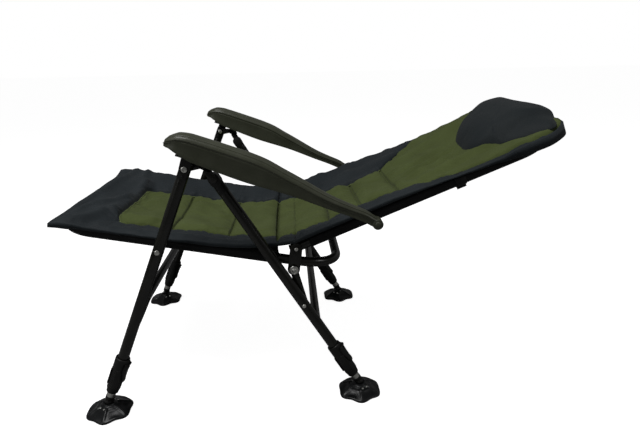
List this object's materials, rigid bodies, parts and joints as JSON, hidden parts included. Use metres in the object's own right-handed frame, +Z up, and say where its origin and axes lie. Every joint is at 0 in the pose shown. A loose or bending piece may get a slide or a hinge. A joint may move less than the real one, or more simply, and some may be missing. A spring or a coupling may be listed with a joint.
{
  "type": "folding reclining chair",
  "caption": "Low folding fishing chair with a reclining back, sliding armrests, quilted mattress, pillow and telescopic legs on swivelling mud feet.",
  "frame": {"origin": "on the ground, under the middle of the outline", "axes": "+Z up, -Y the way the sitter faces, +X to the sitter's left"},
  "size_m": [0.694, 1.137, 0.6723],
  "materials": {
    "frame_tube": "satin bronze-black powder coat",
    "bright_hardware": "zinc plated",
    "inner_tube": "bright plated",
    "black_plastic": "moulded, fine grain",
    "armrest_plastic": "moulded, satin",
    "olive_fabric": "woven polyester, quilted",
    "navy_fabric": "woven polyester",
    "black_fabric": "coated oxford weave"
  },
  "bodies": {
    "seat": {"seat_frame": "frame_tube", "rear_bow": "frame_tube", "seat_sling": "black_fabric", "seat_mattress": "olive_fabric", "hinge_bracket_left": "frame_tube", "hinge_bracket_right": "frame_tube", "link_disc_left": "bright_hardware", "link_disc_right": "bright_hardware", "front_pivot_left": "bright_hardware", "front_pivot_right": "bright_hardware"},
    "front_legs": {"front_leg_left": "frame_tube", "front_leg_right": "frame_tube", "front_leg_cap_left": "black_plastic", "front_leg_cap_right": "black_plastic", "front_brace": "frame_tube", "front_clamp_left": "black_plastic", "front_clamp_right": "black_plastic"},
    "back_hinge": {"back_pin_left": "bright_hardware", "back_pin_right": "bright_hardware", "hinge_mattress": "olive_fabric"},
    "backrest": {"back_frame": "frame_tube", "back_sling": "black_fabric", "back_mattress": "olive_fabric", "pillow": "navy_fabric"},
    "rear_legs": {"rear_leg_left": "frame_tube", "rear_leg_right": "frame_tube", "rear_leg_cap_left": "black_plastic", "rear_leg_cap_right": "black_plastic", "rear_brace": "frame_tube", "rear_clamp_left": "black_plastic", "rear_clamp_right": "black_plastic", "link_rivet_left": "bright_hardware", "link_rivet_right": "bright_hardware"},
    "leg_bracket_left": {"leg_bracket_left": "frame_tube", "top_pivot_left": "bright_hardware"},
    "armrest_slider_left": {"armrest_slider_left": "black_plastic"},
    "armrest_left": {"armrest_left": "armrest_plastic"},
    "link_left": {"link_left": "frame_tube"},
    "leg_bracket_right": {"leg_bracket_right": "frame_tube", "top_pivot_right": "bright_hardware"},
    "armrest_slider_right": {"armrest_slider_right": "black_plastic"},
    "armrest_right": {"armrest_right": "armrest_plastic"},
    "link_right": {"link_right": "frame_tube"},
    "inner_leg_front_left": {"inner_leg_front_left": "inner_tube"},
    "foot_ball_front_left": {"foot_ball_front_left": "black_plastic"},
    "mud_foot_front_left": {"mud_foot_front_left": "black_plastic"},
    "lock_lever_front_left": {"lock_lever_front_left": "black_plastic"},
    "inner_leg_front_right": {"inner_leg_front_right": "inner_tube"},
    "foot_ball_front_right": {"foot_ball_front_right": "black_plastic"},
    "mud_foot_front_right": {"mud_foot_front_right": "black_plastic"},
    "lock_lever_front_right": {"lock_lever_front_right": "black_plastic"},
    "inner_leg_rear_left": {"inner_leg_rear_left": "inner_tube"},
    "foot_ball_rear_left": {"foot_ball_rear_left": "black_plastic"},
    "mud_foot_rear_left": {"mud_foot_rear_left": "black_plastic"},
    "lock_lever_rear_left": {"lock_lever_rear_left": "black_plastic"},
    "inner_leg_rear_right": {"inner_leg_rear_right": "inner_tube"},
    "foot_ball_rear_right": {"foot_ball_rear_right": "black_plastic"},
    "mud_foot_rear_right": {"mud_foot_rear_right": "black_plastic"},
    "lock_lever_rear_right": {"lock_lever_rear_right": "black_plastic"}
  },
  "joints": [
    {"name": "fold", "type": "hinge", "parent": "seat", "child": "front_legs", "pos_m": [0, -0.33442, 0.38681], "axis": [1, 0, 0], "range_deg": [0, 76], "deforming": ["seat_mattress", "hinge_mattress", "back_mattress"]},
    {"name": "back_folds_with_legs", "type": "hinge", "parent": "seat", "child": "back_hinge", "pos_m": [0, -0.04432, 0.362], "axis": [1, 0, 0], "range_deg": [0, 76]},
    {"name": "recline", "type": "hinge", "parent": "back_hinge", "child": "backrest", "pos_m": [0, -0.04432, 0.362], "axis": [1, 0, 0], "range_deg": [0, 46], "deforming": ["seat_mattress", "hinge_mattress", "back_mattress"]},
    {"name": "leg_bracket_left_turn", "type": "hinge", "parent": "front_legs", "child": "leg_bracket_left", "pos_m": [0, -0.26143, 0.56104], "axis": [1, 0, 0], "range_deg": [-76, 0]},
    {"name": "armrest_slider_left_turn", "type": "hinge", "parent": "leg_bracket_left", "child": "armrest_slider_left", "pos_m": [0, -0.26143, 0.56104], "axis": [1, 0, 0], "range_deg": [0, 13.2]},
    {"name": "armrest_left_slide", "type": "slide", "parent": "armrest_slider_left", "child": "armrest_left", "axis": [0, 0.9485, -0.3167], "range_m": [-0.1225, 0]},
    {"name": "link_left_swing", "type": "hinge", "parent": "seat", "child": "link_left", "pos_m": [0, -0.05132, 0.31446], "axis": [1, 0, 0], "range_deg": [-97, 0]},
    {"name": "leg_bracket_right_turn", "type": "hinge", "parent": "front_legs", "child": "leg_bracket_right", "pos_m": [0, -0.26143, 0.56104], "axis": [1, 0, 0], "range_deg": [-76, 0]},
    {"name": "armrest_slider_right_turn", "type": "hinge", "parent": "leg_bracket_right", "child": "armrest_slider_right", "pos_m": [0, -0.26143, 0.56104], "axis": [1, 0, 0], "range_deg": [0, 13.2]},
    {"name": "armrest_right_slide", "type": "slide", "parent": "armrest_slider_right", "child": "armrest_right", "axis": [0, 0.9485, -0.3167], "range_m": [-0.1225, 0]},
    {"name": "link_right_swing", "type": "hinge", "parent": "seat", "child": "link_right", "pos_m": [0, -0.05132, 0.31446], "axis": [1, 0, 0], "range_deg": [-97, 0]},
    {"name": "rear_legs_turn", "type": "hinge", "parent": "link_left", "child": "rear_legs", "pos_m": [0, -0.03098, 0.23604], "axis": [1, 0, 0], "range_deg": [0, 127]},
    {"name": "inner_leg_front_left_slide", "type": "slide", "parent": "front_legs", "child": "inner_leg_front_left", "axis": [0, -0.3864, -0.9223], "range_m": [0, 0.14]},
    {"name": "foot_front_left_pitch", "type": "hinge", "parent": "inner_leg_front_left", "child": "foot_ball_front_left", "pos_m": [0.295, -0.48557, 0.026], "axis": [1, 0, 0], "range_deg": [-56, 11]},
    {"name": "foot_front_left_roll", "type": "hinge", "parent": "foot_ball_front_left", "child": "mud_foot_front_left", "pos_m": [0.295, -0.48557, 0.026], "axis": [0, 1, 0], "range_deg": [-20, 20]},
    {"name": "lock_lever_front_left_turn", "type": "hinge", "parent": "front_legs", "child": "lock_lever_front_left", "pos_m": [0.295, -0.42731, 0.11848], "axis": [1, 0, 0], "range_deg": [0, 95]},
    {"name": "inner_leg_front_right_slide", "type": "slide", "parent": "front_legs", "child": "inner_leg_front_right", "axis": [0, -0.3864, -0.9223], "range_m": [0, 0.14]},
    {"name": "foot_front_right_pitch", "type": "hinge", "parent": "inner_leg_front_right", "child": "foot_ball_front_right", "pos_m": [-0.295, -0.48557, 0.026], "axis": [1, 0, 0], "range_deg": [-56, 11]},
    {"name": "foot_front_right_roll", "type": "hinge", "parent": "foot_ball_front_right", "child": "mud_foot_front_right", "pos_m": [-0.295, -0.48557, 0.026], "axis": [0, 1, 0], "range_deg": [-20, 20]},
    {"name": "lock_lever_front_right_turn", "type": "hinge", "parent": "front_legs", "child": "lock_lever_front_right", "pos_m": [-0.295, -0.42731, 0.11848], "axis": [1, 0, 0], "range_deg": [0, 95]},
    {"name": "inner_leg_rear_left_slide", "type": "slide", "parent": "rear_legs", "child": "inner_leg_rear_left", "axis": [0, 0.5171, -0.8559], "range_m": [0, 0.14]},
    {"name": "foot_rear_left_pitch", "type": "hinge", "parent": "inner_leg_rear_left", "child": "foot_ball_rear_left", "pos_m": [0.2677, 0.09592, 0.026], "axis": [1, 0, 0], "range_deg": [-3, 65]},
    {"name": "foot_rear_left_roll", "type": "hinge", "parent": "foot_ball_rear_left", "child": "mud_foot_rear_left", "pos_m": [0.2677, 0.09592, 0.026], "axis": [0, 1, 0], "range_deg": [-20, 20]},
    {"name": "lock_lever_rear_left_turn", "type": "hinge", "parent": "rear_legs", "child": "lock_lever_rear_left", "pos_m": [0.2677, 0.0567, 0.12571], "axis": [1, 0, 0], "range_deg": [0, 95]},
    {"name": "inner_leg_rear_right_slide", "type": "slide", "parent": "rear_legs", "child": "inner_leg_rear_right", "axis": [0, 0.5171, -0.8559], "range_m": [0, 0.14]},
    {"name": "foot_rear_right_pitch", "type": "hinge", "parent": "inner_leg_rear_right", "child": "foot_ball_rear_right", "pos_m": [-0.2677, 0.09592, 0.026], "axis": [1, 0, 0], "range_deg": [-3, 65]},
    {"name": "foot_rear_right_roll", "type": "hinge", "parent": "foot_ball_rear_right", "child": "mud_foot_rear_right", "pos_m": [-0.2677, 0.09592, 0.026], "axis": [0, 1, 0], "range_deg": [-20, 20]},
    {"name": "lock_lever_rear_right_turn", "type": "hinge", "parent": "rear_legs", "child": "lock_lever_rear_right", "pos_m": [-0.2677, 0.0567, 0.12571], "axis": [1, 0, 0], "range_deg": [0, 95]}
  ],
  "couplings": [
    {"joint": "back_folds_with_legs", "follows": "fold", "ratio": 1},
    {"joint": "leg_bracket_left_turn", "follows": "fold", "ratio": -1},
    {"joint": "armrest_slider_left_turn", "follows": "recline", "ratio": 0.28668},
    {"joint": "armrest_left_slide", "follows": "recline", "m_per_rad": -0.15233},
    {"joint": "link_left_swing", "follows": "fold", "ratio": -1.2699},
    {"joint": "leg_bracket_right_turn", "follows": "fold", "ratio": -1},
    {"joint": "armrest_slider_right_turn", "follows": "recline", "ratio": 0.28668},
    {"joint": "armrest_right_slide", "follows": "recline", "m_per_rad": -0.15233},
    {"joint": "link_right_swing", "follows": "fold", "ratio": -1.2699},
    {"joint": "rear_legs_turn", "follows": "fold", "ratio": 1.6618}
  ]
}
